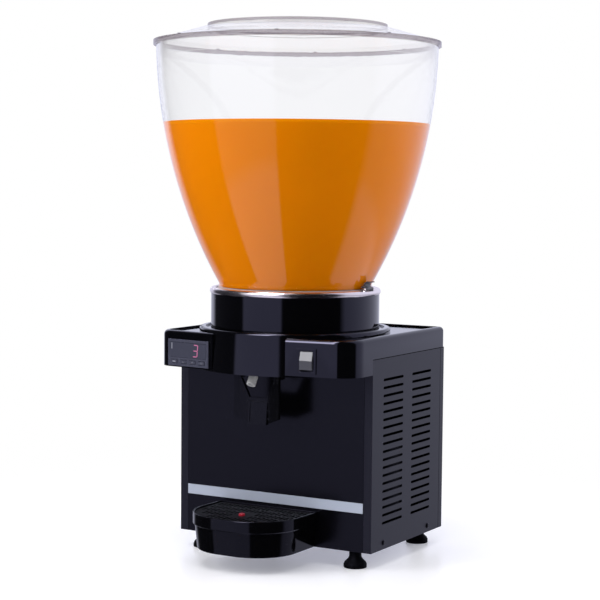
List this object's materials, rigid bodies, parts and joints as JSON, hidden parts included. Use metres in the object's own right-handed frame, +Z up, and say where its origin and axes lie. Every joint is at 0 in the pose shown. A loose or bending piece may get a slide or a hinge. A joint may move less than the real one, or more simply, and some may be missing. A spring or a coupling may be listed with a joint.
{
  "type": "cold drink dispenser",
  "caption": "Counter-top cold drink dispenser: clear tapered bowl with lid on a cooled pot, louvred cabinet, push-lever outlet, drip tray with grid, thermostat and switch.",
  "frame": {"origin": "on the table plane, under the axis of the bowl, which is the centre of the bounding box's bottom", "axes": "+Z up along the bowl axis, -Y to the front with the lever and tray, +X to the viewer's right"},
  "size_m": [0.352, 0.352, 0.6517],
  "materials": {
    "black_gloss": "gloss black moulding",
    "front_paint": "gloss black painted sheet",
    "panel_paint": "satin black painted sheet",
    "pale_strip": "satin silver strip",
    "steel": "stainless steel",
    "zinc_sheet": "zinc plated sheet",
    "aluminium_fins": "fin pack",
    "copper": "drawn copper tube",
    "foam": "rigid foam",
    "silicone": "pale silicone",
    "clear_plastic": "clear moulded plastic",
    "black_plastic": "black moulded plastic",
    "display": "dark window",
    "rocker_grey": "grey rocker",
    "machine_black": "black painted steel",
    "magnet_steel": "magnet disc on a steel shaft",
    "rubber": "black rubber",
    "float_red": "red plastic",
    "white_plastic": "white plastic"
  },
  "bodies": {
    "cabinet": {"top_cover": "black_gloss", "collar": "black_gloss", "front_panel": "front_paint", "left_side_panel": "panel_paint", "right_side_panel": "panel_paint", "rear_panel": "panel_paint", "front_trim_strip": "pale_strip", "evaporator_pot": "steel", "latch_pins": "steel", "lever_pins": "steel", "lever_spring": "steel", "agitator_pivot": "steel", "base_plate": "zinc_sheet", "motor_bracket": "zinc_sheet", "foot_nuts": "zinc_sheet", "condenser": "aluminium_fins", "evaporator_coil": "copper", "filter_drier": "copper", "discharge_pipe": "copper", "liquid_pipe": "copper", "suction_pipe": "copper", "pot_insulation": "foam", "bowl_gasket": "silicone", "outlet_hose": "silicone", "cord_gland": "black_plastic", "tray_guide": "black_plastic", "thermostat_body": "black_plastic", "switch_body": "black_plastic", "start_relay": "black_plastic", "fan_shroud": "black_plastic", "fan_motor": "black_plastic", "display_window": "display", "compressor": "machine_black", "agitator_motor": "machine_black", "panel_screws": "machine_black", "lever_bracket": "machine_black", "latch_brackets": "machine_black", "compressor_feet": "rubber"},
    "bowl": {"bowl": "clear_plastic"},
    "lid": {"lid": "clear_plastic"},
    "latch_left": {"bowl_latch_left": "black_gloss"},
    "latch_right": {"bowl_latch_right": "black_gloss"},
    "lever": {"push_lever": "black_gloss"},
    "tray": {"drip_tray": "black_gloss"},
    "grid": {"tray_grid": "black_gloss"},
    "float": {"tray_float": "float_red"},
    "rocker": {"switch_rocker": "rocker_grey"},
    "key_1": {"key_one": "black_plastic"},
    "key_2": {"key_two": "black_plastic"},
    "key_3": {"key_three": "black_plastic"},
    "key_4": {"key_four": "black_plastic"},
    "foot_fl": {"foot_front_left": "rubber"},
    "foot_fr": {"foot_front_right": "rubber"},
    "foot_rl": {"foot_rear_left": "rubber"},
    "foot_rr": {"foot_rear_right": "rubber"},
    "agitator": {"agitator": "white_plastic"},
    "drive": {"drive_magnet": "magnet_steel"},
    "fan": {"fan_blades": "black_plastic"}
  },
  "joints": [
    {"name": "bowl_lift", "type": "slide", "parent": "cabinet", "child": "bowl", "axis": [0, 0, 1], "range_m": [0, 0.2]},
    {"name": "lid_lift", "type": "slide", "parent": "bowl", "child": "lid", "axis": [0, 0, 1], "range_m": [0, 0.15]},
    {"name": "latch_left_swing", "type": "hinge", "parent": "cabinet", "child": "latch_left", "pos_m": [-0.1023, 0, 0.3324], "axis": [0, -1, 0], "range_deg": [0, 60]},
    {"name": "latch_right_swing", "type": "hinge", "parent": "cabinet", "child": "latch_right", "pos_m": [0.1023, 0, 0.3324], "axis": [0, 1, 0], "range_deg": [0, 60]},
    {"name": "lever_push", "type": "hinge", "parent": "cabinet", "child": "lever", "pos_m": [0, -0.08, 0.251], "axis": [1, 0, 0], "range_deg": [0, 14], "stiffness_Nm_per_rad": 0.6, "springref_deg": -14.32, "deforming": ["lever_spring"]},
    {"name": "tray_pull", "type": "slide", "parent": "cabinet", "child": "tray", "axis": [0, -1, 0], "range_m": [0, 0.13]},
    {"name": "grid_lift", "type": "slide", "parent": "tray", "child": "grid", "axis": [0, 0, 1], "range_m": [0, 0.06]},
    {"name": "float_rise", "type": "slide", "parent": "tray", "child": "float", "axis": [0, 0, 1], "range_m": [0, 0.012]},
    {"name": "rocker_tilt", "type": "hinge", "parent": "cabinet", "child": "rocker", "pos_m": [0.07813, -0.10337, 0.252], "axis": [0.9925, 0.1219, 0], "range_deg": [0, 16]},
    {"name": "key_1_press", "type": "slide", "parent": "cabinet", "child": "key_1", "axis": [0.1219, 0.9925, 0], "range_m": [0, 0.0008], "stiffness_N_per_m": 500, "springref_m": -0.0006},
    {"name": "key_2_press", "type": "slide", "parent": "cabinet", "child": "key_2", "axis": [0.1219, 0.9925, 0], "range_m": [0, 0.0008], "stiffness_N_per_m": 500, "springref_m": -0.0006},
    {"name": "key_3_press", "type": "slide", "parent": "cabinet", "child": "key_3", "axis": [0.1219, 0.9925, 0], "range_m": [0, 0.0008], "stiffness_N_per_m": 500, "springref_m": -0.0006},
    {"name": "key_4_press", "type": "slide", "parent": "cabinet", "child": "key_4", "axis": [0.1219, 0.9925, 0], "range_m": [0, 0.0008], "stiffness_N_per_m": 500, "springref_m": -0.0006},
    {"name": "foot_fl_screw", "type": "slide", "parent": "cabinet", "child": "foot_fl", "axis": [0, 0, 1], "range_m": [-0.008, 0.0015]},
    {"name": "foot_fr_screw", "type": "slide", "parent": "cabinet", "child": "foot_fr", "axis": [0, 0, 1], "range_m": [-0.008, 0.0015]},
    {"name": "foot_rl_screw", "type": "slide", "parent": "cabinet", "child": "foot_rl", "axis": [0, 0, 1], "range_m": [-0.008, 0.0015]},
    {"name": "foot_rr_screw", "type": "slide", "parent": "cabinet", "child": "foot_rr", "axis": [0, 0, 1], "range_m": [-0.008, 0.0015]},
    {"name": "drive_spin", "type": "hinge", "parent": "cabinet", "child": "drive", "pos_m": [0, 0, 0.25], "axis": [0, 0, 1], "continuous": true},
    {"name": "agitator_spin", "type": "hinge", "parent": "cabinet", "child": "agitator", "pos_m": [0, 0, 0.28], "axis": [0, 0, 1], "continuous": true},
    {"name": "fan_spin", "type": "hinge", "parent": "cabinet", "child": "fan", "pos_m": [-0.0875, 0.046, 0.111], "axis": [1, 0, 0], "continuous": true}
  ],
  "couplings": [
    {"joint": "agitator_spin", "follows": "drive_spin", "ratio": 1}
  ]
}
